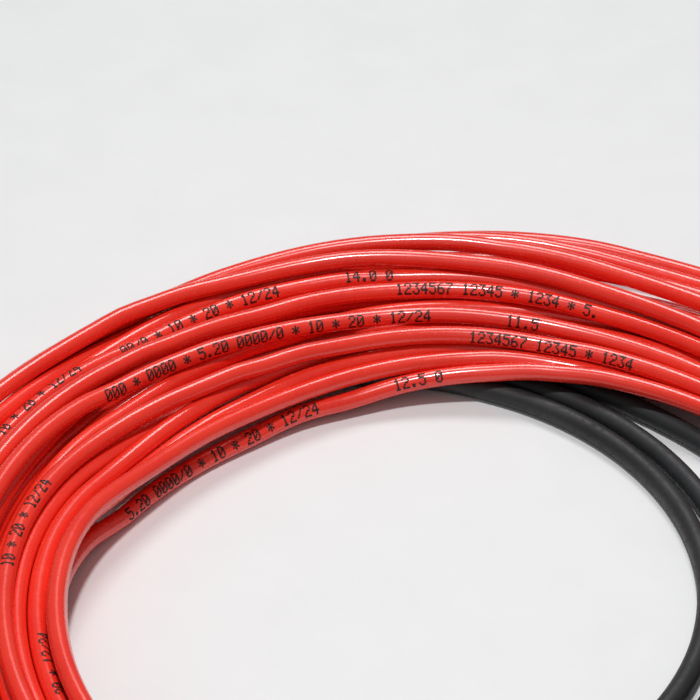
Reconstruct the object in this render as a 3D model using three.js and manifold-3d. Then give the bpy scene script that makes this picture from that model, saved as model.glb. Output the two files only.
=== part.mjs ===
// A coil of electric underfloor-heating cable: twenty-four metres of red cable heaped in a loose ring,
// with its black cold lead coiled in and under the bore, its joint, its end seal and three ties.
// Units are millimetres, Z is up, and the origin is the ring's centre on the floor.
import * as THREE from "three";
import { mergeVertices } from "three/addons/utils/BufferGeometryUtils.js";
import Module from "manifold-3d";

// Clearances
const TOUCH_GAP = 0.3;

// Heating cable and its heap of turns, counted row by row from the floor up
const CABLE_D = 6;
const TURNS_IN_ROW = [7, 9, 6, 3];
const TURN_PITCH = 6.2;
const ROW_RISE = 6;
const OUTER_TURN_R = 172;
const RING_STEPS = 48;
const STRAND_SIDES = 8;
const VALLEY_SHARE = 0.25;

// Cold lead: a flat loose coil on the floor, off centre, with a short tail that ends in three cores
const LEAD_D = 7;
const LEAD_TURNS = 3;
const LEAD_PITCH = 9;
const LEAD_INNER_TURN_R = 102;
const LEAD_SHIFT_ANGLE = 152;
const LEAD_BORE_GAP = 31.3;
const TAIL_ANGLES = [-46, -6];
const TAIL_SPREAD = 9;
const TAIL_STEPS = 14;
const CORE_D = 2.4;
const CORE_LENGTH = 46;
const CORE_SPACING = 2.9;
const CORE_STEPS = 8;

// Joint between the lead and the cable, and the seal on the cable's far end
const JOINT_D = 11;
const JOINT_LENGTH = 90;
const JOINT_ANGLE = -65;
const SEAL_D = 9;
const SEAL_LENGTH = 36;
const SEAL_ANGLE = -12;
const SLEEVE_CHAMFER = 2;
const SLEEVE_SIDES = 16;

// Ties around the heap
const TIE_ANGLES = [30, -32, -105];
const TIE_WIDTH = 4.8;
const TIE_THICK = 1.2;
const TIE_HEAD = [7, 8, 5];
const TIE_TAIL_LENGTH = 14;

const cableR = CABLE_D / 2;
const leadR = LEAD_D / 2;
const degrees = (angle) => THREE.MathUtils.degToRad(angle);
const strandCorner = cableR / Math.cos(Math.PI / STRAND_SIDES);

const RED = new THREE.MeshStandardMaterial({ color: 0xe53a28, roughness: 0.32, metalness: 0 });
const BLACK = new THREE.MeshStandardMaterial({ color: 0x1d1f22, roughness: 0.55, metalness: 0 });
const SLEEVE_BLACK = new THREE.MeshStandardMaterial({ color: 0x141416, roughness: 0.5, metalness: 0 });
const TIE_WHITE = new THREE.MeshStandardMaterial({ color: 0xe6e6e0, roughness: 0.45, metalness: 0 });
const BROWN = new THREE.MeshStandardMaterial({ color: 0x5a3420, roughness: 0.45, metalness: 0 });
const BLUE = new THREE.MeshStandardMaterial({ color: 0x1f5fa8, roughness: 0.45, metalness: 0 });
const GREEN = new THREE.MeshStandardMaterial({ color: 0x7da233, roughness: 0.45, metalness: 0 });

// Booleans
const wasm = await Module();
wasm.setup();

function toSolid(geometry) {
  const bare = geometry.clone();
  bare.deleteAttribute("normal");
  bare.deleteAttribute("uv");
  const merged = mergeVertices(bare, 1e-4);
  return new wasm.Manifold(
    new wasm.Mesh({
      numProp: 3,
      vertProperties: new Float32Array(merged.attributes.position.array),
      triVerts: new Uint32Array(merged.index.array),
    }),
  );
}

function toGeometry(solid) {
  const mesh = solid.getMesh();
  const geometry = new THREE.BufferGeometry();
  geometry.setAttribute("position", new THREE.BufferAttribute(mesh.vertProperties, 3));
  geometry.setIndex(new THREE.BufferAttribute(mesh.triVerts, 1));
  geometry.computeVertexNormals();
  return geometry;
}

// A closed outline in the radius-height plane, turned about Z
function turned(outline, steps = RING_STEPS) {
  const points = outline.map(([r, z]) => new THREE.Vector2(r, z));
  points.push(points[0].clone());
  return new THREE.LatheGeometry(points, steps).rotateX(Math.PI / 2);
}

// The outline of touching strands, walked round with the heap on the left
function strandOutline(centres, radius) {
  const count = centres.length;
  const corner = radius / Math.cos(Math.PI / STRAND_SIDES);
  const step = (2 * Math.PI) / STRAND_SIDES;
  const valleys = centres.map(([r, z], i) => {
    const [nextR, nextZ] = centres[(i + 1) % count];
    const length = Math.hypot(nextR - r, nextZ - z);
    const out = (2 * VALLEY_SHARE * radius) / length;
    return [(r + nextR) / 2 + out * (nextZ - z), (z + nextZ) / 2 - out * (nextR - r)];
  });
  const outline = [];
  centres.forEach(([r, z], i) => {
    const [fromR, fromZ] = valleys[(i + count - 1) % count];
    const [toR, toZ] = valleys[i];
    const start = Math.atan2(fromZ - z, fromR - r);
    let end = Math.atan2(toZ - z, toR - r);
    while (end <= start) end += 2 * Math.PI;
    const margin = step / 5;
    for (let k = Math.ceil(start / step - 0.5); (k + 0.5) * step < end - margin; k += 1) {
      const angle = (k + 0.5) * step;
      if (angle > start + margin) {
        outline.push([r + corner * Math.cos(angle), z + corner * Math.sin(angle)]);
      }
    }
    outline.push([toR, toZ]);
  });
  return outline;
}

// Centres of the turns in each row, from the bore outwards; alternate rows nest half a pitch in
const rows = TURNS_IN_ROW.map((turns, row) => {
  const outer = OUTER_TURN_R - (row % 2) * (TURN_PITCH / 2);
  const z = cableR + row * ROW_RISE;
  return Array.from({ length: turns }, (_, i) => [outer - (turns - 1 - i) * TURN_PITCH, z]);
});

// The turns that show on the heap's outside, in order round it
function exposedTurns() {
  const [floorRow, ...upperRows] = rows;
  const outerSide = upperRows.slice(0, -1).map((row) => row.at(-1));
  const top = [];
  for (let row = rows.length - 1; row > 0; row -= 1) {
    const cover = row === rows.length - 1 ? Infinity : rows[row + 1][0][0];
    top.push(...rows[row].filter(([r]) => r < cover - TURN_PITCH / 4).reverse());
  }
  const underside = rows[1].slice(1).filter(([r]) => r < floorRow[0][0] - TURN_PITCH / 4);
  return [...floorRow, ...outerSide, ...top, ...underside];
}

const heap = exposedTurns();
const boreTurn = rows[1][0];
const shelfTop = rows[1][0][1] + cableR;

// Cold lead's coil: the same strands in a single row
const leadTurns = Array.from({ length: LEAD_TURNS }, (_, i) => [LEAD_INNER_TURN_R + i * LEAD_PITCH, leadR]);
const leadOuterR = leadTurns.at(-1)[0] + leadR;
const leadInnerR = leadTurns[0][0] - leadR;

// The lead's coil is pushed under the heap on one side, which leaves its gap to the bore on the other
const leadShift = leadOuterR - (boreTurn[0] - cableR - LEAD_BORE_GAP);
const leadCentre = [
  leadShift * Math.cos(degrees(LEAD_SHIFT_ANGLE)),
  leadShift * Math.sin(degrees(LEAD_SHIFT_ANGLE)),
];

function leadCoil() {
  const outline = strandOutline([...leadTurns, ...leadTurns.slice(1, -1).reverse()], leadR);
  return turned(outline).translate(leadCentre[0], leadCentre[1], 0);
}

// The room that the heap leaves for the lead's turns, which it rests on
function leadChannel() {
  const low = -CABLE_D;
  const high = LEAD_D + TOUCH_GAP;
  const inner = leadInnerR - TOUCH_GAP;
  const outer = leadOuterR + TOUCH_GAP;
  const outline = [[inner, low], [outer, low], [outer, high], [inner, high]];
  return turned(outline, RING_STEPS * 2).translate(leadCentre[0], leadCentre[1], 0);
}

// A tube of round section along a curve, closed at both ends
function tube(curve, diameter, steps, sides = 10) {
  const section = new THREE.Shape();
  for (let i = 0; i < sides; i += 1) {
    const angle = (2 * Math.PI * (i + 0.5)) / sides;
    const point = [(diameter / 2) * Math.cos(angle), (diameter / 2) * Math.sin(angle)];
    if (i === 0) section.moveTo(...point);
    else section.lineTo(...point);
  }
  section.closePath();
  return new THREE.ExtrudeGeometry(section, { steps, extrudePath: curve, bevelEnabled: false });
}

// The tail leaves the outermost turn of the lead's coil and swings out into the bore
function tailPoint(share) {
  const angle = degrees(TAIL_ANGLES[0] + (TAIL_ANGLES[1] - TAIL_ANGLES[0]) * share);
  const r = leadOuterR + TOUCH_GAP + leadR + TAIL_SPREAD * share * share;
  return new THREE.Vector3(leadCentre[0] + r * Math.cos(angle), leadCentre[1] + r * Math.sin(angle), leadR);
}

function leadTail() {
  const points = Array.from({ length: TAIL_STEPS + 1 }, (_, i) => tailPoint(i / TAIL_STEPS));
  return tube(new THREE.CatmullRomCurve3(points), LEAD_D, TAIL_STEPS, 10);
}

// Three cores leave the tail's end side by side and settle on the floor
function core(place) {
  const end = tailPoint(1);
  const along = end.clone().sub(tailPoint(1 - 1 / TAIL_STEPS)).normalize();
  const side = new THREE.Vector3(-along.y, along.x, 0);
  const turn = degrees(34) / CORE_LENGTH;
  const points = Array.from({ length: CORE_STEPS + 1 }, (_, i) => {
    const run = TOUCH_GAP + (CORE_LENGTH * i) / CORE_STEPS;
    const drop = Math.min(1, run / (CORE_LENGTH / 2));
    const lift = (leadR - CORE_D / 2) * (1 - drop * drop * (3 - 2 * drop));
    const bend = (turn * run * run) / 2;
    return end
      .clone()
      .addScaledVector(along, run)
      .addScaledVector(side, place * CORE_SPACING + bend)
      .setZ(CORE_D / 2 + lift);
  });
  return tube(new THREE.CatmullRomCurve3(points), CORE_D, CORE_STEPS, 8);
}

// A straight sleeve lying along X at the origin, chamfered at both ends
function sleeve(diameter, length) {
  const r = diameter / 2;
  const half = length / 2;
  const outline = [
    [0, -half],
    [r - SLEEVE_CHAMFER, -half],
    [r, -half + SLEEVE_CHAMFER],
    [r, half - SLEEVE_CHAMFER],
    [r - SLEEVE_CHAMFER, half],
    [0, half],
  ].map(([x, y]) => new THREE.Vector2(x, y));
  return new THREE.LatheGeometry(outline, SLEEVE_SIDES).rotateZ(Math.PI / 2);
}

// Ties
function hull(points) {
  const sorted = [...points].sort((a, b) => a[0] - b[0] || a[1] - b[1]);
  const half = (list) => {
    const chain = [];
    for (const p of list) {
      while (chain.length > 1) {
        const [a, b] = chain.slice(-2);
        if ((b[0] - a[0]) * (p[1] - a[1]) - (b[1] - a[1]) * (p[0] - a[0]) > 1e-9) break;
        chain.pop();
      }
      chain.push(p);
    }
    return chain.slice(0, -1);
  };
  return [...half(sorted), ...half(sorted.reverse())];
}

function tieOutline(offset) {
  const lift = TIE_THICK + TOUCH_GAP;
  const reach = (strandCorner + TOUCH_GAP + offset) / Math.cos(Math.PI / STRAND_SIDES);
  const points = heap.flatMap(([r, z]) =>
    Array.from({ length: STRAND_SIDES }, (_, k) => {
      const angle = ((k + 0.5) * 2 * Math.PI) / STRAND_SIDES;
      const height = z + reach * Math.sin(angle);
      return [r + reach * Math.cos(angle), Math.max(height, lift - TOUCH_GAP - offset)];
    }),
  );
  return hull(points);
}

function prism(outline, width, hole) {
  const shape = new THREE.Shape(outline.map(([x, y]) => new THREE.Vector2(x, y)));
  if (hole) shape.holes.push(new THREE.Path([...hole].reverse().map(([x, y]) => new THREE.Vector2(x, y))));
  const geometry = new THREE.ExtrudeGeometry(shape, { depth: width, bevelEnabled: false });
  return geometry.translate(0, 0, -width / 2).rotateX(Math.PI / 2);
}

function tie(angle) {
  const outer = tieOutline(TIE_THICK);
  const band = toSolid(prism(outer, TIE_WIDTH, tieOutline(0)));
  const [headLength, headWidth, headHeight] = TIE_HEAD;
  const crest = outer.reduce((best, p) => (p[1] > best[1] + 1e-6 ? p : best), outer[0]);
  const head = new THREE.BoxGeometry(headLength, headWidth, headHeight);
  head.translate(crest[0] - 2 * headLength, 0, crest[1] - TIE_THICK + headHeight / 2);
  const strip = new THREE.BoxGeometry(TIE_TAIL_LENGTH, TIE_WIDTH - 0.4, TIE_THICK);
  const stripZ = crest[1] - TIE_THICK + headHeight - 2 * TIE_THICK;
  strip.translate(crest[0] - 2.5 * headLength - TIE_TAIL_LENGTH / 2 + 1, 0, stripZ);
  const solid = band.add(toSolid(head)).add(toSolid(strip));
  return toGeometry(solid).rotateZ(degrees(angle));
}

function tieGroove(angle) {
  const r = OUTER_TURN_R;
  const box = new THREE.BoxGeometry(r, TIE_WIDTH + 2 * TOUCH_GAP, 2 * (TIE_THICK + TOUCH_GAP));
  return box.translate(r, 0, 0).rotateZ(degrees(angle));
}

function heatingCable() {
  let solid = toSolid(turned(strandOutline(heap, cableR)));
  solid = solid.subtract(toSolid(leadChannel()));
  for (const angle of TIE_ANGLES) solid = solid.subtract(toSolid(tieGroove(angle)));
  return toGeometry(solid);
}

// The joint lies on the floor in the bore, its two ends against the innermost turn
function placeJoint(mesh) {
  const reach = JOINT_D / 2 + strandCorner + TOUCH_GAP;
  const endR = boreTurn[0] - Math.sqrt(reach * reach - (boreTurn[1] - JOINT_D / 2) ** 2);
  const r = Math.sqrt(endR * endR - (JOINT_LENGTH / 2 - SLEEVE_CHAMFER) ** 2);
  const angle = degrees(JOINT_ANGLE);
  mesh.position.set(r * Math.cos(angle), r * Math.sin(angle), JOINT_D / 2);
  mesh.rotation.z = angle + Math.PI / 2;
}

// The end seal lies on the heap's inner shelf
function placeSeal(mesh) {
  const r = rows[1][2][0];
  const angle = degrees(SEAL_ANGLE);
  mesh.position.set(r * Math.cos(angle), r * Math.sin(angle), shelfTop + TOUCH_GAP + SEAL_D / 2);
  mesh.rotation.z = angle + Math.PI / 2;
}

const coil = new THREE.Group();

function addPiece(name, geometry, material) {
  const mesh = new THREE.Mesh(geometry, material);
  mesh.name = name;
  coil.add(mesh);
  return mesh;
}

addPiece("heating_cable", heatingCable(), RED);
addPiece("cold_lead", leadCoil(), BLACK);
addPiece("cold_lead_tail", leadTail(), BLACK);
addPiece("core_brown", core(-1), BROWN);
addPiece("core_green_yellow", core(0), GREEN);
addPiece("core_blue", core(1), BLUE);
placeJoint(addPiece("joint_sleeve", sleeve(JOINT_D, JOINT_LENGTH), SLEEVE_BLACK));
placeSeal(addPiece("end_seal", sleeve(SEAL_D, SEAL_LENGTH), SLEEVE_BLACK));
TIE_ANGLES.forEach((angle, i) => addPiece(`cable_tie_${i + 1}`, tie(angle), TIE_WHITE));

export default coil;
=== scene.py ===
import math

import bpy
import numpy as np
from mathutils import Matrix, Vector


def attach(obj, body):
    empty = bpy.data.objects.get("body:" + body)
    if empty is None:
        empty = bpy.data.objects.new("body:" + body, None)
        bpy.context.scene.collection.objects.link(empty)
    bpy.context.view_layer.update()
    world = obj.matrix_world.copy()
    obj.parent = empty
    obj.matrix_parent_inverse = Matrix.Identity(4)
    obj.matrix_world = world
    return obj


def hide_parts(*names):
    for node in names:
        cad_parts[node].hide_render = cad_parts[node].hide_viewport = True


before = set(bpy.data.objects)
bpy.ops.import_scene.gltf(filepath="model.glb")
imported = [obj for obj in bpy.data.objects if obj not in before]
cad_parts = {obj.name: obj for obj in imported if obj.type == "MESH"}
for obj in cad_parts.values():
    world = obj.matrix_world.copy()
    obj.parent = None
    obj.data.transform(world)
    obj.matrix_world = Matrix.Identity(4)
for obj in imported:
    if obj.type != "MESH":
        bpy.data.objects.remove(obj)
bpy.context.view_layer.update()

scene = bpy.context.scene

# Camera. Lengths in this part are millimetres, and pixels are those of the 700 by 700 photograph
ELEVATION = math.radians(36.0)
CAMERA_DISTANCE = 1000.0
PIXELS_PER_FOCUS = 3000.0
PICTURE = 700
LOOK_AT = np.array([-40.0, 120.0, 15.0])
RIGHT = np.array([1.0, 0.0, 0.0])
FORWARD = np.array([0.0, math.cos(ELEVATION), -math.sin(ELEVATION)])
UP = np.array([0.0, math.sin(ELEVATION), math.cos(ELEVATION)])
EYE = LOOK_AT - CAMERA_DISTANCE * FORWARD
SENSOR = 36.0
MM = 0.001

# Heating cable: turns are counted along it, clockwise from above, from the joint in the bore.
# Each turn is a row of stations round the coil, and its place there is a radius and a height
CABLE_D = 6.0
LEAD_D = 7.0
TURN_PITCH = 6.2
STATIONS = 96
SEAM_ANGLE = -90.0
STATION_STEP = 360.0 / STATIONS
START_STATION = 0
END_STATION = 73
# Rows in the order in which the cable fills them: first radius, height, and number of turns
BORE_ROW = (119.3, 9.0, 3)
FLOOR_ROW = (134.8, 3.0, 7)
SECOND_ROW = (168.9, 9.0, 6)
THIRD_ROW = (141.0, 15.0, 6)
TOP_ROW = (168.9, 21.0, 3)

# The turns that the photograph shows: number of the turn, then points of its centreline, read
# as two pixels and a height
STRANDS = {
    "t9": (0, [(62, 570, 7), (100, 531, 5), (110, 526, 4.6), (150, 495, 4.0), (200, 463, 3.8),
               (250, 438, 4.0), (300, 414, 4.8), (350, 400.5, 6.2), (400, 385, 8.2), (450, 376, 10),
               (500, 372.3, 10.4), (530, 371.3, 10.4), (560, 373.5, 10.2), (600, 377.5, 10),
               (640, 386, 9)]),
    "t8": (1, [(65, 532, 15), (105, 499, 15), (150, 468.5, 15), (200, 437, 15), (250, 413, 14.2),
               (300, 393, 13.4), (350, 377, 12.6), (400, 366, 12), (450, 360, 11.5), (500, 358, 11)]),
    "t7": (2, [(65, 535, 13.5), (105, 501.5, 13.5), (120, 490, 13.5), (140, 473.5, 13.5),
               (160, 458, 13.5), (180, 443, 13.5), (200, 430, 13.5), (220, 418, 13.5), (250, 403, 13),
               (300, 380, 12.4), (350, 364, 11.8), (400, 354, 11.2), (450, 349, 10.8), (500, 350.5, 10.5),
               (550, 356.5, 10.5), (600, 365.5, 10.5), (640, 375, 10.5)]),
    "v": (15, [(65, 513, 14), (100, 483, 14), (120, 466.5, 14), (140, 450, 14), (160, 434, 14),
               (180, 420, 14), (200, 407.5, 13), (230, 391, 12), (260, 378, 11), (300, 363, 10),
               (340, 351, 9)]),
    "w": (14, [(65, 488, 14), (100, 462, 14), (125, 446, 14), (150, 431, 14), (175, 417, 13),
               (200, 405, 12)]),
    "s": (13, [(65, 455, 14), (100, 430, 14), (120, 417, 14), (140, 404, 14), (160, 391, 14),
               (180, 379.5, 14), (200, 370, 13), (230, 356, 12), (260, 345, 11.5), (300, 334, 11)]),
    "u": (20, [(104, 356.5, 10), (150, 329, 10.5), (200, 306, 12), (250, 289, 14), (300, 277, 16)]),
    "t6": (16, [(65, 465, 18), (105, 437, 18), (120, 427.5, 18), (140, 415.5, 18), (160, 405.5, 18),
                (180, 396, 18), (200, 388, 18), (230, 375.5, 18), (250, 370, 17), (280, 360, 17),
                (300, 354, 17), (330, 348, 17), (400, 337, 17), (460, 335, 17), (500, 338, 17),
                (550, 346, 17), (600, 355, 16.5), (640, 366, 16)]),
    "t5": (17, [(65, 415, 19), (100, 397, 19), (110, 393, 19), (130, 383, 19), (150, 373, 19),
                (170, 365, 19), (190, 357, 19), (210, 349.5, 19), (230, 343.7, 19), (260, 336, 19),
                (300, 328, 18.5),
                (340, 322, 18), (400, 315.8, 18), (460, 315, 18), (500, 319, 18), (540, 325, 18),
                (600, 338.5, 18), (640, 349.5, 18)]),
    "t4": (24, [(65, 394, 17), (100, 375, 17), (120, 364.7, 17), (150, 350.5, 17), (180, 339, 18),
                (200, 332.3, 18), (230, 322.5, 18), (250, 318, 18), (300, 304, 19), (350, 295, 19),
                (400, 291, 19), (450, 290, 19), (500, 293, 19), (550, 301, 19), (600, 314, 19),
                (640, 325.5, 19)]),
    "t3": (19, [(65, 381, 14), (105, 361.5, 14), (150, 341.5, 14), (170, 331, 15), (190, 321.5, 15),
                (210, 314, 16), (230, 306, 16), (300, 288, 17), (350, 280, 17.5), (400, 278, 17.5),
                (450, 277.5, 17.5), (500, 282, 17.5), (550, 291, 17.5), (600, 304, 17.5),
                (640, 315, 17.5)]),
    "b": (21, [(480, 240, 18), (518, 242.6, 18), (557, 249, 18), (600, 258.3, 18), (640, 269.5, 18)]),
    "a": (10, [(520, 240, 15), (550, 242.5, 15), (600, 249.8, 15), (640, 259.5, 15)]),
    "t1": (22, [(65, 349, 10), (100, 330, 10), (150, 306.5, 13), (200, 285.3, 17), (250, 268.5, 20),
                (300, 255.3, 22), (350, 246.5, 23), (400, 242.5, 23), (460, 243, 23), (500, 248, 23),
                (540, 254, 23), (600, 269, 23), (640, 282, 23)]),
    "t2": (23, [(65, 348, 15), (100, 328, 15), (110, 322, 15), (150, 304.5, 17), (190, 291.5, 19),
                (220, 285, 20), (300, 266.5, 22), (350, 259, 23), (400, 258, 23), (460, 262, 23),
                (500, 266.5, 23), (540, 274, 23), (600, 291, 23), (640, 304, 23)]),
}

# Places that turns keep where they are out of sight: angle, radius and height
HIDDEN = {
    10: [(92, 184, 10), (110, 182, 6), (130, 182, 4), (160, 181, 4), (190, 176, 6)],
    21: [(100, 181, 13), (115, 178, 8), (130, 176, 6), (160, 178, 9), (190, 174, 12)],
}
HIDDEN_PULL = 0.3

# Cold lead: a flat spiral on the floor, off centre. Its knots are the angle about that centre, the
# radius and the height, from the joint to the cut end
LEAD_CENTRE = (-34.0, 18.0)
LEAD_KNOTS = [
    (-37.9, 149.4, 5.5), (-30, 152.0, 4.2), (-20, 151.5, 3.5), (-6, 146.0, 3.5), (10, 139.0, 3.5),
    (25, 130.5, 3.5), (35, 126.0, 3.5), (50, 121.3, 3.5), (70, 120.0, 3.5), (130, 120.0, 3.5),
    (200, 119.3, 3.5), (260, 117.8, 3.5), (320, 115.3, 3.5), (380, 112.4, 3.5), (425, 111.3, 3.5),
    (500, 111.2, 3.5), (570, 110.3, 3.5), (640, 107.3, 3.5), (700, 104.4, 3.5), (760, 103.2, 3.5),
    (830, 103.0, 3.5), (900, 103.0, 3.5), (945, 103.0, 3.6), (958, 103.0, 6.4), (970, 103.4, 10.4),
    (985, 107.5, 10.9), (1000, 115.0, 10.9), (1008, 118.8, 9.6), (1018, 122.3, 5.4), (1028, 125.0, 3.5),
    (1040, 128.0, 3.5), (1055, 130.6, 3.5), (1074, 136.0, 3.5),
]
LEAD_STEP = 2.5
JOINT = {"angle": -65.0, "radius": 102.3, "height": 5.5, "diameter": 11.0, "length": 90.0}
SEAL = {"angle": -12.0, "radius": 131.7, "height": 16.8, "diameter": 9.0, "length": 36.0}
TIE_ANGLES = (30.0, -32.0, -105.0)
TIE_THICK = 1.2
TIE_WIDTH = 4.8

# Heap: how firmly each turn keeps its place, and how the turns are laid out where they are unseen
FAR = 1e4
CLEARANCE = 0.06
HOME_PULL = 0.03
END_PULL = 20.0
START_EXTRA_PULL = 0.0005
SEEN_PULL = 8.0
HEIGHT_PULL = 0.02
STIFF = 30.0
START_STIFF = 2000.0
CHANGE_FROM = 0.86
LEAVE_STATIONS = 8
ARRIVE_STATION = 54
HELD_STATIONS = 3
LET_GO = 30
SEAL_END = (132.9, 16.8)
JOINT_END = (111.7, 5.5)
SPREAD = 0.45
SPREAD_RADIUS = 150.0
SPREAD_RISE = (95, 125)
SPREAD_FALL = (185, 230)
SPREAD_TOO = [11, 12]
RAMP_FAR = -16
RAMP_NEAR = -4
TIE_GROOVE = TIE_THICK + 0.15
GROOVE_WIDE = -12.0
GROOVE_NARROW = -4.5
SOLVE_STEPS = 260
PUSH_STEPS = 240
PUSH_GAIN = 0.8
SMOOTH_STEPS = 200
SMOOTH_GAIN = 0.35


def at_height(x, y, z):
    """The point of height z that the pixel shows."""
    across = (x - PICTURE / 2) / PIXELS_PER_FOCUS
    upward = (PICTURE / 2 - y) / PIXELS_PER_FOCUS
    ray = across[:, None] * RIGHT + upward[:, None] * UP + FORWARD
    reach = (z - EYE[2]) / ray[:, 2]
    return EYE + ray * reach[:, None]


def smooth_through(points, count=240):
    """Hermite curve through the points, at even steps of their first value."""
    points = np.array(points, float)
    x = points[:, 0]
    xs = np.linspace(x[0], x[-1], count)
    place = np.clip(np.searchsorted(x, xs) - 1, 0, len(x) - 2)
    gap = x[place + 1] - x[place]
    u = (xs - x[place]) / gap
    columns = [xs]
    for values in points.T[1:]:
        slope = np.gradient(values, x)
        columns.append(
            (2 * u**3 - 3 * u**2 + 1) * values[place]
            + (u**3 - 2 * u**2 + u) * gap * slope[place]
            + (3 * u**2 - 2 * u**3) * values[place + 1]
            + (u**3 - u**2) * gap * slope[place + 1]
        )
    return np.array(columns)


def sight_line(strand):
    """Radius at each station as start + slope * height, and the planned height, where it is seen."""
    x, y, height = smooth_through(strand)
    low, high, middle = (at_height(x, y, z) for z in (height - 1.0, height + 1.0, height))
    radii = []
    for points in (low, high):
        angle = np.degrees(np.arctan2(points[:, 1], points[:, 0]))
        order = np.argsort(angle)
        reach = np.hypot(points[:, 0], points[:, 1])
        radii.append(np.interp(STATION_ANGLES, angle[order], reach[order], np.nan, np.nan))
    angle = np.degrees(np.arctan2(middle[:, 1], middle[:, 0]))
    order = np.argsort(angle)
    wanted = np.interp(STATION_ANGLES, angle[order], height[order], np.nan, np.nan)
    slope = (radii[1] - radii[0]) / 2.0
    return (radii[0] + radii[1]) / 2.0 - slope * wanted, slope, wanted


def row_places(row, way):
    """Radius and height of each turn of a row that fills outwards (1) or inwards (-1)."""
    return [(row[0] + way * i * TURN_PITCH, row[1]) for i in range(row[2])]


# Clockwise from the seam, written between -90 and 270 degrees
STATION_ANGLES = SEAM_ANGLE + (-STATION_STEP * np.arange(STATIONS)) % 360.0
STATION_NUMBERS = np.arange(STATIONS)
HOMES = (row_places(BORE_ROW, 1) + row_places(FLOOR_ROW, 1) + row_places(SECOND_ROW, -1)
         + row_places(THIRD_ROW, 1) + row_places(TOP_ROW, -1))
TURNS = len(HOMES) - 1


def smooth_step(low, high, value):
    """0 below low, 1 above high, and an even curve between."""
    share = np.clip((value - low) / (high - low), 0, 1)
    return share * share * (3 - 2 * share)


def lead_route():
    """The lead's centreline from the joint to the cut end, in millimetres."""
    knots = np.array(LEAD_KNOTS)
    steps = int((knots[-1, 0] - knots[0, 0]) / LEAD_STEP)
    angle, radius, height = smooth_through(knots, steps)
    return angle, radius, np.maximum(height, LEAD_D / 2)


rows = TURNS + 1
count = rows * STATIONS
index = np.arange(count)
valid = (index >= START_STATION) & (index <= TURNS * STATIONS + END_STATION)

# Each turn keeps to its row, and changes over to the next one just before the seam
home = np.zeros((rows, STATIONS, 2))
weight = np.full((rows, STATIONS), HOME_PULL)
change = smooth_step(CHANGE_FROM, 1.0, STATION_NUMBERS / STATIONS)[:, None]
for k in range(TURNS):
    home[k] = np.array(HOMES[k]) * (1 - change) + np.array(HOMES[k + 1]) * change
leaving = smooth_step(0, LEAVE_STATIONS, STATION_NUMBERS)[:, None]
home[0] = np.array(JOINT_END) * (1 - leaving) + home[0] * leaving
arriving = smooth_step(ARRIVE_STATION, END_STATION, STATION_NUMBERS)[:, None]
home[TURNS] = np.array(HOMES[TURNS]) * (1 - arriving) + np.array(SEAL_END) * arriving
weight[0, :HELD_STATIONS] = END_PULL
weight[TURNS, END_STATION + 1 - HELD_STATIONS:] = END_PULL

# Seen turns may only slide along the camera's rays
seen = np.zeros((rows, STATIONS), bool)
line_start = np.zeros((rows, STATIONS))
line_slope = np.zeros((rows, STATIONS))
for turn, points in STRANDS.values():
    start, slope, wanted = sight_line(points)
    shown = ~np.isnan(start + slope + wanted)
    seen[turn, shown] = True
    line_start[turn, shown] = start[shown]
    line_slope[turn, shown] = slope[shown]
    home[turn, shown, 1] = wanted[shown]
    home[turn, shown, 0] = (start + slope * wanted)[shown]

# The floor turns spread out under the wide part of the heap
spread = SPREAD * smooth_step(*SPREAD_RISE, STATION_ANGLES)
spread = spread * smooth_step(-SPREAD_FALL[1], -SPREAD_FALL[0], -STATION_ANGLES)
for k in list(range(BORE_ROW[2], BORE_ROW[2] + FLOOR_ROW[2])) + SPREAD_TOO:
    home[k, :, 0] += spread * np.maximum(home[k, :, 0] - SPREAD_RADIUS, 0)

# Homes let go of a turn near the end of its seen run, so that it bends away smoothly
for k in range(rows):
    if seen[k].any():
        stations = np.flatnonzero(seen[k])
        apart = np.abs(STATION_NUMBERS[:, None] - stations[None, :]).min(axis=1)
        weight[k] = np.where(weight[k] > 1, weight[k], weight[k] * smooth_step(0, LET_GO, apart))
for k, guides in HIDDEN.items():
    for angle, radius, height in guides:
        station = round(((SEAM_ANGLE - angle) % 360.0) / STATION_STEP)
        home[k, station] = (radius, height)
        weight[k, station] = HIDDEN_PULL
valid_grid = valid.reshape(rows, STATIONS)

# The lead's strands at each station
lead_angle, lead_radius, lead_height = lead_route()
lead_points = np.stack([
    LEAD_CENTRE[0] + lead_radius * np.cos(np.radians(lead_angle)),
    LEAD_CENTRE[1] + lead_radius * np.sin(np.radians(lead_angle)),
    lead_height,
], axis=1)
polar = np.degrees(np.unwrap(np.arctan2(lead_points[:, 1], lead_points[:, 0])))
reach = np.hypot(lead_points[:, 0], lead_points[:, 1])
lead_discs = []
for lap in range(-1, 4):
    at = STATION_ANGLES + 360.0 * lap
    inside = (at >= polar[0]) & (at <= polar[-1])
    if inside.any():
        r = np.where(inside, np.interp(at, polar, reach), FAR)
        z = np.where(inside, np.interp(at, polar, lead_points[:, 2]), FAR)
        lead_discs.append((r, z))

# Turns that cross over the lead start above it, and so do the turns on them
lead_inner = np.min([r for r, z in lead_discs], axis=0)
lead_outer = np.max([np.where(r < FAR, r, 0) for r, z in lead_discs], axis=0)
for k in range(rows):
    r = home[k, :, 0]
    over = smooth_step(RAMP_FAR, RAMP_NEAR, r - lead_inner)
    over = over * smooth_step(RAMP_FAR, RAMP_NEAR, lead_outer - r)
    home[k, :, 1] += np.where(seen[k], 0, LEAD_D * over)


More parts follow.
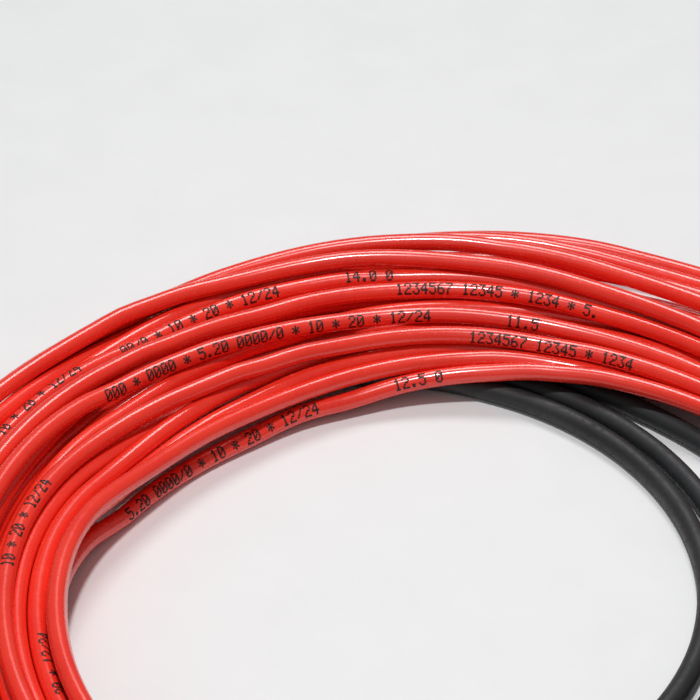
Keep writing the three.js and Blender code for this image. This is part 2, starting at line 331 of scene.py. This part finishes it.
def bending_bands(stiffness, pull):
    """Diagonals of stiffness * bending + pull, for a chain that is whole only where valid."""
    middle = np.array([i for i in range(1, count - 1) if valid[i - 1] and valid[i + 1]])
    bands = np.zeros((3, count))
    bands[0] = pull
    for offset, factor in ((-1, 1.0), (0, 4.0), (1, 1.0)):
        np.add.at(bands[0], middle + offset, stiffness * factor)
    for offset in (-1, 0):
        np.add.at(bands[1], middle + offset, -2.0 * stiffness)
    np.add.at(bands[2], middle - 1, stiffness)
    return bands


def banded_solve(bands, right):
    """Solves the symmetric five-band system for every column of right at once."""
    diagonal, first, second = (band.copy() for band in bands)
    first_factor = np.zeros(count)
    second_factor = np.zeros(count)
    x = right.copy()
    for i in range(count):
        if i + 1 < count:
            first_factor[i] = first[i] / diagonal[i]
            diagonal[i + 1] -= first_factor[i] * first[i]
            first[i + 1] -= first_factor[i] * second[i]
            x[i + 1] -= first_factor[i] * x[i]
        if i + 2 < count:
            second_factor[i] = second[i] / diagonal[i]
            diagonal[i + 2] -= second_factor[i] * second[i]
            x[i + 2] -= second_factor[i] * x[i]
    x /= diagonal[:, None]
    for i in range(count - 2, -1, -1):
        x[i] -= first_factor[i] * x[i + 1]
        if i + 2 < count:
            x[i] -= second_factor[i] * x[i + 2]
    return x


flat_seen = seen.reshape(-1)
w_home = np.where(flat_seen, 0.0, weight.reshape(-1))
w_line = np.where(flat_seen, SEEN_PULL, 0.0)
solver = banded_solve(bending_bands(STIFF, 1.0 + w_home + w_line), np.eye(count))
start_pull = np.where(flat_seen, SEEN_PULL, weight.reshape(-1) + START_EXTRA_PULL)
start_bands = bending_bands(START_STIFF, start_pull)
start_guess = banded_solve(start_bands, start_pull[:, None] * home.reshape(-1, 2))
p = start_guess.copy()
home = np.where(seen[:, :, None], home, start_guess.reshape(rows, STATIONS, 2))


def straight_discs(sleeve):
    """Where a straight sleeve across a radius cuts each station."""
    offset = np.radians((STATION_ANGLES - sleeve["angle"] + 180.0) % 360.0 - 180.0)
    inside = np.abs(np.tan(offset)) * sleeve["radius"] < sleeve["length"] / 2
    inside &= np.abs(offset) < 1.0
    return (np.where(inside, sleeve["radius"] / np.cos(offset), FAR),
            np.where(inside, sleeve["height"], FAR), sleeve["diameter"] / 2)


def apart_from(angle):
    """Degrees between each station and the angle."""
    return np.abs((STATION_ANGLES - angle + 180.0) % 360.0 - 180.0)


# The turns clear the lead, both sleeves and the table, and rise over the ties' undersides
obstacles = [(r, z, LEAD_D / 2) for r, z in lead_discs]
obstacles += [straight_discs(JOINT), straight_discs(SEAL)]
tie_offset = np.min([apart_from(angle) for angle in TIE_ANGLES], axis=0)
ground = CABLE_D / 2 + TIE_GROOVE * smooth_step(GROOVE_WIDE, GROOVE_NARROW, -tie_offset)
ground_all = np.tile(ground, rows)
line_a = line_start.reshape(-1)
line_b = line_slope.reshape(-1)
planned = home.reshape(-1, 2)[:, 1].copy()


def pushes(p, gain=1.0):
    """How far each disc is pushed out of what it overlaps, and the deepest overlap."""
    g = p.reshape(rows, STATIONS, 2)
    push = np.zeros_like(g)
    absent = np.where(valid_grid, 0.0, FAR)
    deep = 0.0
    for i in range(rows):
        for j in range(i + 1, rows):
            d = g[j] - g[i]
            dist = np.hypot(d[:, 0], d[:, 1]) + 1e-6
            over = CABLE_D + CLEARANCE - dist - absent[i] - absent[j]
            if over.max() <= 0:
                continue
            deep = max(deep, over.max())
            both = d / dist[:, None] * np.maximum(over, 0)[:, None]
            push[i] -= both * 0.5
            push[j] += both * 0.5
    for r, z, half in obstacles:
        d = np.stack([g[:, :, 0] - r[None], g[:, :, 1] - z[None]], -1)
        dist = np.hypot(d[..., 0], d[..., 1]) + 1e-6
        over = np.maximum(CABLE_D / 2 + half + CLEARANCE - dist - absent, 0)
        deep = max(deep, over.max())
        push += d / dist[..., None] * over[..., None]
    return gain * push.reshape(-1, 2), deep


def on_line(q):
    """Nearest point of the sight line."""
    z = (q[:, 1] + line_b * (q[:, 0] - line_a)) / (1 + line_b * line_b)
    return np.stack([line_a + line_b * z, z], 1)


# First the turns bend, clear each other and keep their homes, all at once
for step in range(SOLVE_STEPS):
    push, deep = pushes(p)
    q = p + push
    q[:, 1] = np.maximum(q[:, 1], ground_all)
    line = on_line(q)
    line_z = line[:, 1] + HEIGHT_PULL * (planned - line[:, 1])
    line = np.stack([line_a + line_b * line_z, line_z], 1)
    target = q + np.where(flat_seen[:, None], w_line[:, None] * line, 0)
    target += w_home[:, None] * home.reshape(-1, 2)
    p = solver @ target

# Then the overlaps that are left go, while the turns are kept smooth
for step in range(PUSH_STEPS):
    push, deep = pushes(p, PUSH_GAIN)
    p = p + push
    p[:, 1] = np.maximum(p[:, 1], ground_all)
    p = np.where(flat_seen[:, None], on_line(p), p)
    if step < SMOOTH_STEPS:
        bend = np.zeros_like(p)
        bend[1:-1] = (p[2:] + p[:-2]) / 2 - p[1:-1]
        ok = np.zeros(count, bool)
        ok[1:-1] = valid[2:] & valid[:-2] & valid[1:-1]
        third_bend = np.zeros_like(p)
        third_bend[1:-1] = bend[1:-1] - (bend[2:] + bend[:-2]) / 2
        p = p + np.where(ok[:, None], SMOOTH_GAIN * third_bend, 0)
push, deep = pushes(p)
print("deepest overlap left", round(float(deep), 3))

# Meshes: points of the cable's route per station, and sides of the round tubes
SUBSTEPS = 2
CABLE_SIDES = 14
LEAD_SIDES = 16


def route_points(discs):
    """World points of the cable's centreline, in metres."""
    run = np.arange(START_STATION, TURNS * STATIONS + END_STATION + 1)
    fine = np.arange(run[0], run[-1] + 1e-6, 1.0 / SUBSTEPS)
    base = np.clip(np.floor(fine).astype(int), run[0] + 1, run[-1] - 2)
    u = (fine - base)[:, None]
    before, here, after, beyond = (discs[base + k] for k in (-1, 0, 1, 2))
    line = 0.5 * (2 * here + (after - before) * u
                  + (2 * before - 5 * here + 4 * after - beyond) * u**2
                  + (3 * here - before - 3 * after + beyond) * u**3)
    angle = np.radians(SEAM_ANGLE - STATION_STEP * fine)
    x = line[:, 0] * np.cos(angle)
    y = line[:, 0] * np.sin(angle)
    return MM * np.stack([x, y, line[:, 1]], axis=1)


def link(name, mesh):
    thing = bpy.data.objects.new(name, mesh)
    bpy.context.collection.objects.link(thing)
    return thing


def tube(name, points, radius, sides):
    """A closed round tube along the points, with UVs in metres along and turns round it."""
    points = np.asarray(points, float)
    radius = np.broadcast_to(np.asarray(radius, float), len(points))
    tangent = np.gradient(points, axis=0)
    tangent /= np.linalg.norm(tangent, axis=1)[:, None]
    side = np.cross(tangent, np.array([0.0, 0.0, 1.0]))
    side /= np.linalg.norm(side, axis=1)[:, None]
    lift = np.cross(side, tangent)
    turn = 2 * np.pi * np.arange(sides) / sides
    ring = np.cos(turn)[None, :, None] * side[:, None, :]
    ring = ring + np.sin(turn)[None, :, None] * lift[:, None, :]
    verts = (points[:, None, :] + radius[:, None, None] * ring).reshape(-1, 3)
    here, k = np.meshgrid(np.arange(len(points) - 1), np.arange(sides), indexing="ij")
    after = (k + 1) % sides
    quads = np.stack([here * sides + k, here * sides + after,
                      (here + 1) * sides + after, (here + 1) * sides + k], axis=-1).reshape(-1, 4)
    last = (len(points) - 1) * sides
    ends = [tuple(range(sides - 1, -1, -1)), tuple(range(last, last + sides))]
    mesh = bpy.data.meshes.new(name)
    mesh.from_pydata(verts.tolist(), [], quads.tolist() + ends)
    along = np.concatenate([[0], np.cumsum(np.linalg.norm(np.diff(points, axis=0), axis=1))])
    uv = np.zeros((len(mesh.loops), 2))
    corners = np.stack([
        np.stack([along[here], k / sides], -1), np.stack([along[here], (k + 1) / sides], -1),
        np.stack([along[here + 1], (k + 1) / sides], -1), np.stack([along[here + 1], k / sides], -1),
    ], axis=-2)
    uv[:4 * len(quads)] = corners.reshape(-1, 2)
    mesh.uv_layers.new(name="UVMap").data.foreach_set("uv", uv.reshape(-1))
    mesh.polygons.foreach_set("use_smooth", [True] * len(quads) + [False] * 2)
    return link(name, mesh), float(along[-1])


# Materials: sizes of the noise, and what it does
CLOUD_SCALE = 38
SCUFF_SCALE = 420
WAVE_SCALE = 90
GRAIN_SCALE = 1500
LENGTHWISE = (1.0, 0.02, 1.0)
GRAIN_SHARE = 0.25
BUMP_DEPTH = 0.0004
COAT_ROUGHNESS = 0.09
STRIPE_TWIST = 12.0
STRIPE_EDGE = (0.60, 0.62)
STRIPE_GREEN = (0.045, 0.23, 0.035)
STRIPE_YELLOW = (0.72, 0.60, 0.03)
STRIPE_ROUGHNESS = 0.38


def material(name):
    made = bpy.data.materials.new(name)
    made.use_nodes = True
    return made, made.node_tree.nodes, made.node_tree.links, made.node_tree.nodes["Principled BSDF"]


def noise(nodes, links, coords, scale, detail, stretch=(1, 1, 1)):
    mapping = nodes.new("ShaderNodeMapping")
    mapping.inputs["Scale"].default_value = stretch
    links.new(coords, mapping.inputs["Vector"])
    texture = nodes.new("ShaderNodeTexNoise")
    texture.inputs["Scale"].default_value = scale
    texture.inputs["Detail"].default_value = detail
    links.new(mapping.outputs["Vector"], texture.inputs["Vector"])
    return texture.outputs["Fac"]


def ramp(nodes, links, value, low, high, first, second):
    made = nodes.new("ShaderNodeMapRange")
    made.inputs["From Min"].default_value = low
    made.inputs["From Max"].default_value = high
    made.inputs["To Min"].default_value = first
    made.inputs["To Max"].default_value = second
    links.new(value, made.inputs["Value"])
    return made.outputs["Result"]


def mixed(nodes, links, share, first, second):
    made = nodes.new("ShaderNodeMix")
    made.data_type = "RGBA"
    made.inputs["A"].default_value = (*first, 1)
    made.inputs["B"].default_value = (*second, 1)
    links.new(share, made.inputs["Factor"])
    return made.outputs["Result"]


def plastic(name, pale, deep, gloss, ripple, speck, coat=0.0):
    """Extruded plastic: mottled colour, lengthwise ripple, and small scuffs that are rougher.

    gloss is the roughness between the scuffs, and speck is what the scuffs add to it.
    """
    made, nodes, links, shader = material(name)
    coords = nodes.new("ShaderNodeTexCoord")
    cloud = noise(nodes, links, coords.outputs["Object"], CLOUD_SCALE, 3)
    colour = mixed(nodes, links, ramp(nodes, links, cloud, 0.35, 0.68, 0, 1), pale, deep)
    links.new(colour, shader.inputs["Base Color"])
    scuff = noise(nodes, links, coords.outputs["Object"], SCUFF_SCALE, 4)
    rough = ramp(nodes, links, scuff, 0.45, 0.75, gloss, gloss + speck)
    links.new(rough, shader.inputs["Roughness"])
    wave = noise(nodes, links, coords.outputs["UV"], WAVE_SCALE, 2, LENGTHWISE)
    grain = noise(nodes, links, coords.outputs["Object"], GRAIN_SCALE, 2)
    both = nodes.new("ShaderNodeMath")
    both.operation = "MULTIPLY_ADD"
    both.inputs[1].default_value = GRAIN_SHARE
    links.new(grain, both.inputs[0])
    links.new(wave, both.inputs[2])
    bump = nodes.new("ShaderNodeBump")
    bump.inputs["Strength"].default_value = ripple
    bump.inputs["Distance"].default_value = BUMP_DEPTH
    links.new(both.outputs["Value"], bump.inputs["Height"])
    links.new(bump.outputs["Normal"], shader.inputs["Normal"])
    shader.inputs["Coat Weight"].default_value = coat
    shader.inputs["Coat Roughness"].default_value = COAT_ROUGHNESS
    return made


RED = plastic("red_sheath", (0.95, 0.042, 0.021), (0.88, 0.030, 0.015), 0.24, 0.02, 0.10, 0.45)
BLACK = plastic("black_sheath", (0.024, 0.026, 0.028), (0.013, 0.014, 0.015), 0.50, 0.25, 0.2)
SHRINK = plastic("black_shrink", (0.020, 0.020, 0.022), (0.010, 0.010, 0.011), 0.38, 0.5, 0.2)
NYLON = plastic("white_nylon", (0.80, 0.80, 0.76), (0.70, 0.70, 0.66), 0.36, 0.2, 0.2)
BROWN = plastic("brown_core", (0.115, 0.040, 0.018), (0.085, 0.028, 0.012), 0.36, 0.2, 0.15)
BLUE = plastic("blue_core", (0.020, 0.110, 0.42), (0.014, 0.080, 0.34), 0.36, 0.2, 0.15)
INK = plastic("black_ink", (0.010, 0.006, 0.006), (0.022, 0.008, 0.007), 0.55, 0.1, 0.2)
COPPER = plastic("bare_copper", (0.72, 0.33, 0.18), (0.60, 0.25, 0.13), 0.3, 0.2, 0.2)
COPPER.node_tree.nodes["Principled BSDF"].inputs["Metallic"].default_value = 1.0


def striped(name):
    """Green sheath with a yellow stripe on a slow twist."""
    made, nodes, links, shader = material(name)
    coords = nodes.new("ShaderNodeTexCoord")
    parts = nodes.new("ShaderNodeSeparateXYZ")
    links.new(coords.outputs["UV"], parts.inputs["Vector"])
    twist = nodes.new("ShaderNodeMath")
    twist.operation = "MULTIPLY_ADD"
    twist.inputs[1].default_value = STRIPE_TWIST
    links.new(parts.outputs["X"], twist.inputs[0])
    links.new(parts.outputs["Y"], twist.inputs[2])
    turn = nodes.new("ShaderNodeMath")
    turn.operation = "FRACT"
    links.new(twist.outputs["Value"], turn.inputs[0])
    edge = ramp(nodes, links, turn.outputs["Value"], *STRIPE_EDGE, 0, 1)
    links.new(mixed(nodes, links, edge, STRIPE_GREEN, STRIPE_YELLOW), shader.inputs["Base Color"])
    shader.inputs["Roughness"].default_value = STRIPE_ROUGHNESS
    return made


STRIPED = striped("green_yellow_core")


def piece(thing, skin, slot, *nodes):
    """Gives a mesh its material and body, and hides the solids that it stands for; slot is not used."""
    thing.data.materials.append(skin)
    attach(thing, "root")
    if nodes:
        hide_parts(*nodes)
    return thing


# Joint and end seal: shrink sleeves whose ends neck down to the cables
SLEEVE_SHARES = [0, 0.25, 0.5, 0.7, 0.76, 0.82, 0.88, 0.93, 0.97, 0.99, 1]
SLEEVE_SIDES = 28
SLEEVE_NECK = (0.70, 0.93)
SLEEVE_RIM = 0.3
JOINT_NECKS = (3.75, 4.25)
SEAL_NECKS = (2.4, 3.75)


def straight(sleeve, share):
    """A point on the sleeve's axis, share -1 to 1 from its clockwise end, in metres."""
    angle = math.radians(sleeve["angle"])
    outward = np.array([math.cos(angle), math.sin(angle), 0.0])
    along = np.array([-math.sin(angle), math.cos(angle), 0.0])
    middle = sleeve["radius"] * outward + np.array([0, 0, sleeve["height"]])
    return MM * (middle + share * sleeve["length"] / 2 * along)


cable_path = route_points(p)
joint_red_end = straight(JOINT, -1.0)
joint_lead_end = straight(JOINT, 1.0)
seal_end = straight(SEAL, 1.0)
cable_path = np.vstack([joint_red_end, cable_path[:-1], seal_end])
cable, cable_length = tube("red_cable", cable_path, CABLE_D / 2 * MM, CABLE_SIDES)
lead_path = lead_points * MM
lead_path = np.vstack([joint_lead_end, lead_path[1:]])
lead, lead_length = tube("black_lead", lead_path, LEAD_D / 2 * MM, LEAD_SIDES)
piece(cable, RED, "heating_sheath", "heating_cable")
piece(lead, BLACK, "lead_sheath", "cold_lead", "cold_lead_tail")
print("lengths", round(cable_length, 3), round(lead_length, 3))


def sleeve_piece(name, node, sleeve, necks):
    """A sleeve that narrows to the radius of each neck and has a rounded rim."""
    full = sleeve["diameter"] / 2
    shares = np.array(SLEEVE_SHARES)
    shares = np.concatenate([-shares[:0:-1], shares])
    reach = np.abs(shares)
    neck = np.where(shares < 0, necks[0], necks[1])
    radius = full - (full - neck) * smooth_step(*SLEEVE_NECK, reach)
    radius = radius - SLEEVE_RIM * smooth_step(0.98, 1.0, reach)
    points = np.array([straight(sleeve, share) for share in shares])
    return piece(tube(name, points, radius * MM, SLEEVE_SIDES)[0], SHRINK, "sleeve", node)


sleeve_piece("joint_shrink", "joint_sleeve", JOINT, JOINT_NECKS)
seal = sleeve_piece("seal_shrink", "end_seal", SEAL, SEAL_NECKS)

# Cores: three leave the lead's cut end side by side and settle on the floor
CORE_D = 2.4
CORE_SPACING = 2.65
CORE_LENGTH = 44.0
CORE_STRIP = 7.0
CORE_STEPS = 16
CORE_SIDES = 12
CORE_DROP = (2, 24)
CORE_BEND = 0.011
WIRE_RADIUS = 0.75
WIRE_SIDES = 10
cut_end = lead_path[-1] / MM
cut_along = cut_end - lead_path[-3] / MM
cut_along[2] = 0
cut_along /= np.linalg.norm(cut_along)
cut_side = np.array([-cut_along[1], cut_along[0], 0.0])


def core_points(place, start, end):
    """Centreline of the core at place -1, 0 or 1, between two lengths from the cut end."""
    run = np.linspace(start, end, CORE_STEPS)
    lift = (LEAD_D / 2 - CORE_D / 2) * (1 - smooth_step(*CORE_DROP, run))
    bend = CORE_BEND * run * run
    points = cut_end + run[:, None] * cut_along + (place * CORE_SPACING + bend)[:, None] * cut_side
    points[:, 2] = CORE_D / 2 + lift
    return points * MM


CORE_SKINS = (("core_brown", -1, BROWN), ("core_green_yellow", 0, STRIPED), ("core_blue", 1, BLUE))
BARE_FROM = CORE_LENGTH - CORE_STRIP
for name, place, skin in CORE_SKINS:
    sheath_points = core_points(place, 0.0, BARE_FROM)
    sheath = tube(name + "_sheath", sheath_points, CORE_D / 2 * MM, CORE_SIDES)[0]
    piece(sheath, skin, name, name)
    wire_points = core_points(place, BARE_FROM, CORE_LENGTH)
    wire = tube(name + "_wire", wire_points, WIRE_RADIUS * MM, WIRE_SIDES)[0]
    piece(wire, COPPER, name)

# Ties: a nylon band round the red turns at its place, with a head and a cut tail
BAND_SIDES = 24
BAND_SLACK = 0.12
FLOOR_GAP = 0.05
HEAD_INWARD = 12.0
HEAD_DROP = 9
HEAD_SINK = 0.4
HEAD_HALF = (3.6, 3.7)
HEAD_HEIGHT = 4.6
TAIL_HALF = (7.0, 2.1)
TAIL_HEIGHTS = (2.2, 3.4)
TAIL_INWARD = 9.5
BEVEL_WIDTH = 0.00035
BEVEL_ANGLE = 50


def hull(points):
    """Corners of the convex outline of the points, in order."""
    points = sorted(map(tuple, points))

    def half(chain_points):
        chain = []
        for q in chain_points:
            while len(chain) > 1:
                (ax, ay), (bx, by) = chain[-2:]
                if (bx - ax) * (q[1] - ay) - (by - ay) * (q[0] - ax) > 1e-9:
                    break
                chain.pop()
            chain.append(q)
        return chain[:-1]

    return half(points) + half(points[::-1])


def box_faces(start):
    """Faces of a box whose eight corners begin at start."""
    return [tuple(start + i for i in face) for face in
            ((0, 3, 2, 1), (4, 5, 6, 7), (0, 1, 5, 4), (1, 2, 6, 5), (2, 3, 7, 6), (3, 0, 4, 7))]


def band(name, node, angle):
    """A tie that is pulled tight round all the turns at the angle."""
    grid = p.reshape(rows, STATIONS, 2)
    low = int(((SEAM_ANGLE - angle) % 360.0) / STATION_STEP) % STATIONS
    both = (low, (low + 1) % STATIONS)
    near = [grid[k, s] for s in both for k in range(rows) if valid_grid[k, s]]
    turn = np.linspace(0, 2 * np.pi, BAND_SIDES, endpoint=False)
    reach = CABLE_D / 2 + BAND_SLACK
    cloud = np.concatenate([c + reach * np.stack([np.cos(turn), np.sin(turn)], 1) for c in near])
    inner = np.array(hull(cloud))
    edge = np.roll(inner, -1, axis=0) - np.roll(inner, 1, axis=0)
    normal = np.stack([edge[:, 1], -edge[:, 0]], 1)
    normal /= np.linalg.norm(normal, axis=1)[:, None]
    outer = inner + TIE_THICK * normal
    outer[:, 1] = np.maximum(outer[:, 1], FLOOR_GAP)
    n = len(inner)
    verts = []
    for ring, across in ((inner, -1), (outer, -1), (outer, 1), (inner, 1)):
        verts += [(r, across * TIE_WIDTH / 2, z) for r, z in ring]
    faces = []
    for i in range(n):
        j = (i + 1) % n
        for a, b in ((0, 1), (1, 2), (2, 3), (3, 0)):
            faces.append((a * n + i, a * n + j, b * n + j, b * n + i))
    crest = outer[np.argmax(outer[:, 1])]
    too_low = outer[:, 1] < crest[1] - HEAD_DROP
    ridge = outer[np.argmin(np.abs(outer[:, 0] - (crest[0] - HEAD_INWARD)) + 100 * too_low)]
    seat = ridge[1] - HEAD_SINK
    head = (HEAD_HALF, (seat, seat + HEAD_HEIGHT), ridge[0])
    tail = (TAIL_HALF, (seat + TAIL_HEIGHTS[0], seat + TAIL_HEIGHTS[1]), ridge[0] - TAIL_INWARD)
    for (half_x, half_y), heights, middle in (head, tail):
        start = len(verts)
        verts += [(middle + sx * half_x, sy * half_y, z) for z in heights
                  for sx, sy in ((-1, -1), (1, -1), (1, 1), (-1, 1))]
        faces += box_faces(start)
    c, s = math.cos(math.radians(angle)), math.sin(math.radians(angle))
    turned = [(MM * (x * c - y * s), MM * (x * s + y * c), MM * z) for x, y, z in verts]
    mesh = bpy.data.meshes.new(name)
    mesh.from_pydata(turned, [], faces)
    made = link(name, mesh)
    bevel = made.modifiers.new("edges", "BEVEL")
    bevel.width = BEVEL_WIDTH
    bevel.segments = 2
    bevel.limit_method = "ANGLE"
    bevel.angle_limit = math.radians(BEVEL_ANGLE)
    return piece(made, NYLON, "tie_nylon", node)


for number, angle in enumerate(TIE_ANGLES, 1):
    band(f"tie_band_{number}", f"cable_tie_{number}", angle)

# Dot-matrix marks: plain numbers and stars, printed along the cable. Each letter has seven rows
FONT = {
    "0": "01110 10001 10011 10101 11001 10001 01110",
    "1": "00100 01100 00100 00100 00100 00100 01110",
    "2": "01110 10001 00001 00110 01000 10000 11111",
    "3": "11111 00010 00100 00010 00001 10001 01110",
    "4": "00010 00110 01010 10010 11111 00010 00010",
    "5": "11111 10000 11110 00001 00001 10001 01110",
    "6": "00110 01000 10000 11110 10001 10001 01110",
    "7": "11111 00001 00010 00100 01000 01000 01000",
    ".": "00000 00000 00000 00000 00000 01100 01100",
    "*": "00000 00100 10101 01110 10101 00100 00000",
    "/": "00000 00001 00010 00100 01000 10000 00000",
    " ": "00000 00000 00000 00000 00000 00000 00000",
}
CHAR_PITCH = 2.85
DOT_PITCH = 0.46
ROW_ANGLE = math.radians(12.2)
DOT_HALF = 0.34
DOT_CORNER = 0.45
INK_LIFT = 0.012
# Strand, pixel x of the first character, text, and the print's turn round the cable at both ends
PRINT_RUNS = [
    ("t9", 122, "5.20 0000/0 * 10 * 20 * 12/24", -12, 6),
    ("t9", 385, "12.5 0", 7, 9),
    ("t3", 107, "00/0 * 10 * 20 * 12/24", 12, 13),
    ("t3", 340, "14.0 0", 27, 25),
    ("t5", 102, "000 * 0000 * 5.20 0000/0 * 10 * 20 * 12/24", -11, -10),
    ("t5", 500, "11.5", -4, -4),
    ("t4", 393, "1234567 12345 * 1234 * 5.", 16, 2),
    ("t6", 467, "1234567 12345 * 1234", -12, -10),
]
# The rest of the cable has the same mark at even lengths, turned a little more or less each time
FAR_MARK = "10 * 20 * 12/24"
FAR_SPACING = 470.0
FAR_START = 120.0
FAR_END = 80
FAR_LEAN = 35
ARC_FROM_Y = 20
ARC_HALF_WIDTH = 150

path_mm = cable_path / MM
along_mm = np.concatenate([[0], np.cumsum(np.linalg.norm(np.diff(path_mm, axis=0), axis=1))])
tangents = np.gradient(path_mm, axis=0)
tangents /= np.linalg.norm(tangents, axis=1)[:, None]
dots = []


def at_length(length):
    """Point and direction of the cable at a length from its start, in millimetres."""
    place = np.array([np.interp(length, along_mm, path_mm[:, i]) for i in range(3)])
    direction = np.array([np.interp(length, along_mm, tangents[:, i]) for i in range(3)])
    return place, direction / np.linalg.norm(direction)


DOT_OUTLINE = [(-1, -DOT_CORNER), (-DOT_CORNER, -1), (DOT_CORNER, -1), (1, -DOT_CORNER),
               (1, DOT_CORNER), (DOT_CORNER, 1), (-DOT_CORNER, 1), (-1, DOT_CORNER)]


def print_text(start, text, facing, first_turn, last_turn):
    """Dots of the text from the given length on, on the side that facing gives for each place."""
    for number, letter in enumerate(text):
        lean = math.radians(first_turn + (last_turn - first_turn) * number / max(1, len(text) - 1))
        for row, bits in enumerate(FONT[letter].split()):
            for column, bit in enumerate(bits):
                if bit == "0":
                    continue
                place, direction = at_length(start + number * CHAR_PITCH + column * DOT_PITCH)
                view = facing(place)
                view = view - view.dot(direction) * direction
                view /= np.linalg.norm(view)
                up = np.cross(view, direction)
                angle = lean + (3 - row) * ROW_ANGLE
                out = math.cos(angle) * view + math.sin(angle) * up
                over = -math.sin(angle) * view + math.cos(angle) * up
                middle = place + (CABLE_D / 2 + INK_LIFT) * out
                dots.append([middle + DOT_HALF * (a * direction + b * over)
                             for a, b in DOT_OUTLINE])


def to_camera(place):
    return EYE - place


def upwards(place):
    return np.array([0.0, 0.0, 1.0])


def pixel_x(points):
    """Where the photograph shows the points, across."""
    offset = points - EYE
    return PICTURE / 2 + PIXELS_PER_FOCUS * offset[:, 0] / (offset @ FORWARD)


far_side = path_mm[:, 1] > ARC_FROM_Y
for strand, start_x, text, first_turn, last_turn in PRINT_RUNS:
    turn = STRANDS[strand][0]
    low = 1 + SUBSTEPS * turn * STATIONS
    high = min(low + SUBSTEPS * STATIONS, len(path_mm))
    across = pixel_x(path_mm[low:high])
    there = np.flatnonzero(far_side[low:high] & (across >= start_x))
    best = low + there[np.argmin(across[there])]
    print_text(along_mm[best], text, to_camera, first_turn, last_turn)

far_length = FAR_START
mark = 0
while far_length < along_mm[-1] - FAR_END:
    place, direction = at_length(far_length)
    if place[1] < ARC_FROM_Y or abs(place[0]) > ARC_HALF_WIDTH:
        lean = -FAR_LEAN + 2 * FAR_LEAN * ((mark * 7) % 10) / 9
        print_text(far_length, FAR_MARK, upwards, lean, lean)
    far_length += FAR_SPACING
    mark += 1
ink_mesh = bpy.data.meshes.new("print_marks")
corners = len(DOT_OUTLINE)
ink_mesh.from_pydata([tuple(MM * v) for dot in dots for v in dot], [],
                     [tuple(range(corners * i, corners * (i + 1))) for i in range(len(dots))])
ink = piece(link("print_marks", ink_mesh), INK, "heating_sheath")
print("dots", len(dots))

# Camera, floor and lights
camera_data = bpy.data.cameras.new("camera")
camera = bpy.data.objects.new("camera", camera_data)
bpy.context.collection.objects.link(camera)
camera.location = Vector(EYE * MM)
camera.rotation_euler = (math.pi / 2 - ELEVATION, 0, 0)
camera_data.sensor_width = SENSOR
camera_data.lens = PIXELS_PER_FOCUS * SENSOR / PICTURE
camera_data.clip_end = 10
scene.camera = camera

TABLE_HALF = 6
table_corners = [(x * TABLE_HALF, y * TABLE_HALF, 0) for x, y in ((-1, -1), (1, -1), (1, 1), (-1, 1))]
floor_mesh = bpy.data.meshes.new("table")
floor_mesh.from_pydata(table_corners, [], [(0, 1, 2, 3)])
floor = link("table", floor_mesh)
TABLE = plastic("table_white", (0.86, 0.865, 0.87), (0.84, 0.845, 0.85), 0.5, 0.0, 0.1)
floor_mesh.materials.append(TABLE)


AIM = (-0.04, 0.12, 0)
AIM_KEY = (-0.04, 0.14, 0)
WORLD_LIGHT = 0.2


def area_light(name, place, aim, size, power):
    """A round light of a size in metres and a power in watts that points at aim."""
    data = bpy.data.lights.new(name, "AREA")
    data.shape = "DISK"
    data.size = size
    data.energy = power
    light = bpy.data.objects.new(name, data)
    bpy.context.collection.objects.link(light)
    light.location = place
    light.rotation_euler = (Vector(aim) - Vector(place)).to_track_quat("-Z", "Y").to_euler()


area_light("key_light", (-0.05, -0.16, 1.35), AIM_KEY, 0.10, 9)
area_light("back_light", (0.0, 0.95, 1.4), AIM, 0.6, 9)
area_light("front_light", (-0.3, -1.1, 1.1), AIM, 1.3, 1.5)
world = bpy.data.worlds.new("world")
world.use_nodes = True
world.node_tree.nodes["Background"].inputs["Color"].default_value = (1, 1, 1, 1)
world.node_tree.nodes["Background"].inputs["Strength"].default_value = WORLD_LIGHT
scene.world = world
scene.view_settings.view_transform = "Standard"
